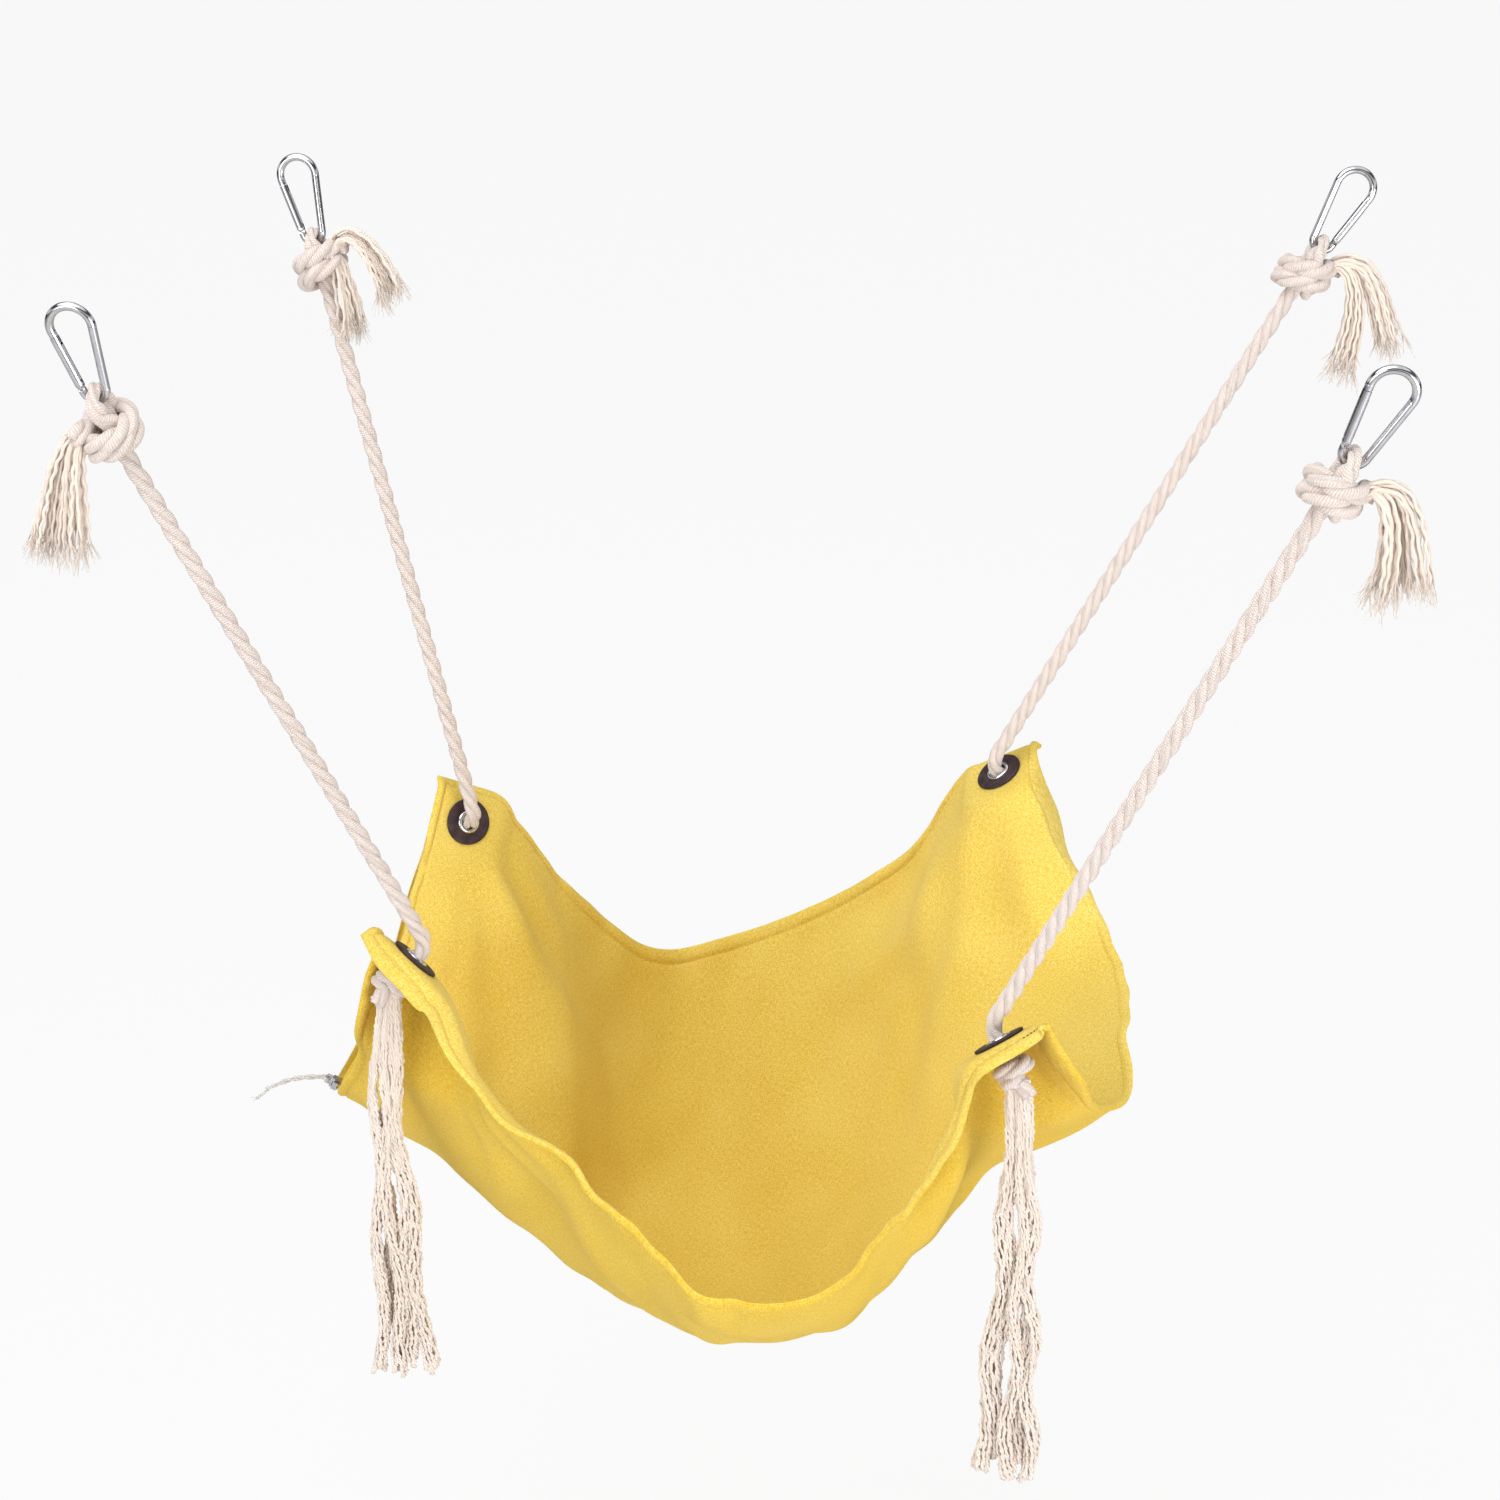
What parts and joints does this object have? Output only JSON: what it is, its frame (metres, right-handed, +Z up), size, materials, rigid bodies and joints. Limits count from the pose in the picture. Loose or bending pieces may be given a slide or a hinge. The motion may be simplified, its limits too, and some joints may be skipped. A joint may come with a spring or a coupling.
{
  "type": "hanging pet bed",
  "caption": "Sagging two-layer canvas sling for a pet, hung at its corners from twisted cotton ropes through leather-backed eyelets, each knotted to a gated snap hook.",
  "frame": {"origin": "centre of the spread of the four hooks, in the level plane where they bear on what they hang from", "axes": "+Z up, -Y towards the picture's front, +X to its right"},
  "size_m": [0.6538, 0.3662, 0.6407],
  "materials": {
    "cloth_top": "plain woven cotton canvas, top-stitched",
    "cloth_bottom": "plain woven cotton canvas",
    "zip_fabric": "woven tape",
    "zip_coil": "coil",
    "zip_metal": "cast, dark",
    "cord_white": "thin cord",
    "leather": "dark brown, matt",
    "eyelet_metal": "polished",
    "rope_cotton": "twisted cotton, undyed",
    "hook_steel": "bright plated",
    "spring_steel": "plain wire"
  },
  "bodies": {
    "sling": {"top_panel": "cloth_top", "bottom_panel": "cloth_bottom", "zip_tape": "zip_fabric", "zip_chain": "zip_coil", "zip_stop": "zip_metal", "leather_ring_top_front_left": "leather", "leather_ring_top_rear_left": "leather", "leather_ring_top_rear_right": "leather", "leather_ring_top_front_right": "leather", "leather_ring_bottom_front_left": "leather", "leather_ring_bottom_rear_left": "leather", "leather_ring_bottom_rear_right": "leather", "leather_ring_bottom_front_right": "leather", "eyelet_front_left": "eyelet_metal", "eyelet_rear_left": "eyelet_metal", "eyelet_rear_right": "eyelet_metal", "eyelet_front_right": "eyelet_metal", "eyelet_washer_front_left": "eyelet_metal", "eyelet_washer_rear_left": "eyelet_metal", "eyelet_washer_rear_right": "eyelet_metal", "eyelet_washer_front_right": "eyelet_metal", "rope_front_left": "rope_cotton", "rope_rear_left": "rope_cotton", "rope_rear_right": "rope_cotton", "rope_front_right": "rope_cotton", "upper_knot_front_left": "rope_cotton", "upper_knot_rear_left": "rope_cotton", "upper_knot_rear_right": "rope_cotton", "upper_knot_front_right": "rope_cotton", "upper_tail_front_left": "rope_cotton", "upper_tail_rear_left": "rope_cotton", "upper_tail_rear_right": "rope_cotton", "upper_tail_front_right": "rope_cotton", "stopper_knot_front_left": "rope_cotton", "stopper_knot_rear_left": "rope_cotton", "stopper_knot_rear_right": "rope_cotton", "stopper_knot_front_right": "rope_cotton", "lower_tail_front_left": "rope_cotton", "lower_tail_rear_left": "rope_cotton", "lower_tail_rear_right": "rope_cotton", "lower_tail_front_right": "rope_cotton"},
    "hook_front_left": {"carabiner_front_left": "hook_steel", "gate_pin_front_left": "spring_steel"},
    "gate_front_left": {"gate_front_left": "hook_steel", "gate_spring_front_left": "spring_steel"},
    "hook_rear_left": {"carabiner_rear_left": "hook_steel", "gate_pin_rear_left": "spring_steel"},
    "gate_rear_left": {"gate_rear_left": "hook_steel", "gate_spring_rear_left": "spring_steel"},
    "hook_rear_right": {"carabiner_rear_right": "hook_steel", "gate_pin_rear_right": "spring_steel"},
    "gate_rear_right": {"gate_rear_right": "hook_steel", "gate_spring_rear_right": "spring_steel"},
    "hook_front_right": {"carabiner_front_right": "hook_steel", "gate_pin_front_right": "spring_steel"},
    "gate_front_right": {"gate_front_right": "hook_steel", "gate_spring_front_right": "spring_steel"},
    "zip_slider": {"zip_slider": "zip_metal"},
    "zip_pull": {"zip_pull": "cord_white"}
  },
  "joints": [
    {"name": "hook_swing_front_left", "type": "hinge", "parent": "sling", "child": "hook_front_left", "pos_m": [-0.27679, -0.13774, -0.03755], "axis": [-0.0255, 0.9911, 0.1305], "range_deg": [-35, 35]},
    {"name": "gate_open_front_left", "type": "hinge", "parent": "hook_front_left", "child": "gate_front_left", "pos_m": [-0.2832, -0.13816, -0.03557], "axis": [-0.0255, 0.9911, 0.1305], "range_deg": [0, 28], "stiffness_Nm_per_rad": 0.02, "springref_deg": -11.46},
    {"name": "hook_swing_rear_left", "type": "hinge", "parent": "sling", "child": "hook_rear_left", "pos_m": [-0.25248, 0.13503, -0.03731], "axis": [0.0276, 0.9926, -0.1185], "range_deg": [-35, 35]},
    {"name": "gate_open_rear_left", "type": "hinge", "parent": "hook_rear_left", "child": "gate_rear_left", "pos_m": [-0.25895, 0.13542, -0.03556], "axis": [0.0276, 0.9926, -0.1185], "range_deg": [0, 28], "stiffness_Nm_per_rad": 0.02, "springref_deg": -11.46},
    {"name": "hook_swing_rear_right", "type": "hinge", "parent": "sling", "child": "hook_rear_right", "pos_m": [0.28951, 0.17138, -0.03383], "axis": [-0.072, 0.9877, -0.1387], "range_deg": [-35, 35]},
    {"name": "gate_open_rear_right", "type": "hinge", "parent": "hook_rear_right", "child": "gate_rear_right", "pos_m": [0.29621, 0.17188, -0.03375], "axis": [0.072, -0.9877, 0.1387], "range_deg": [0, 28], "stiffness_Nm_per_rad": 0.02, "springref_deg": -11.46},
    {"name": "hook_swing_front_right", "type": "hinge", "parent": "sling", "child": "hook_front_right", "pos_m": [0.27796, -0.16121, -0.03547], "axis": [0.0363, 0.9955, 0.0871], "range_deg": [-35, 35]},
    {"name": "gate_open_front_right", "type": "hinge", "parent": "hook_front_right", "child": "gate_front_right", "pos_m": [0.27373, -0.16151, -0.03026], "axis": [0.0363, 0.9955, 0.0871], "range_deg": [0, 28], "stiffness_Nm_per_rad": 0.02, "springref_deg": -11.46},
    {"name": "zip_slide", "type": "slide", "parent": "sling", "child": "zip_slider", "axis": [-0.1059, 0.9312, -0.3489], "range_m": [0, 0.0075]},
    {"name": "pull_swing", "type": "hinge", "parent": "zip_slider", "child": "zip_pull", "pos_m": [-0.23115, -0.03117, -0.47286], "axis": [0.4296, 0.3593, 0.8285], "range_deg": [-70, 70]}
  ]
}
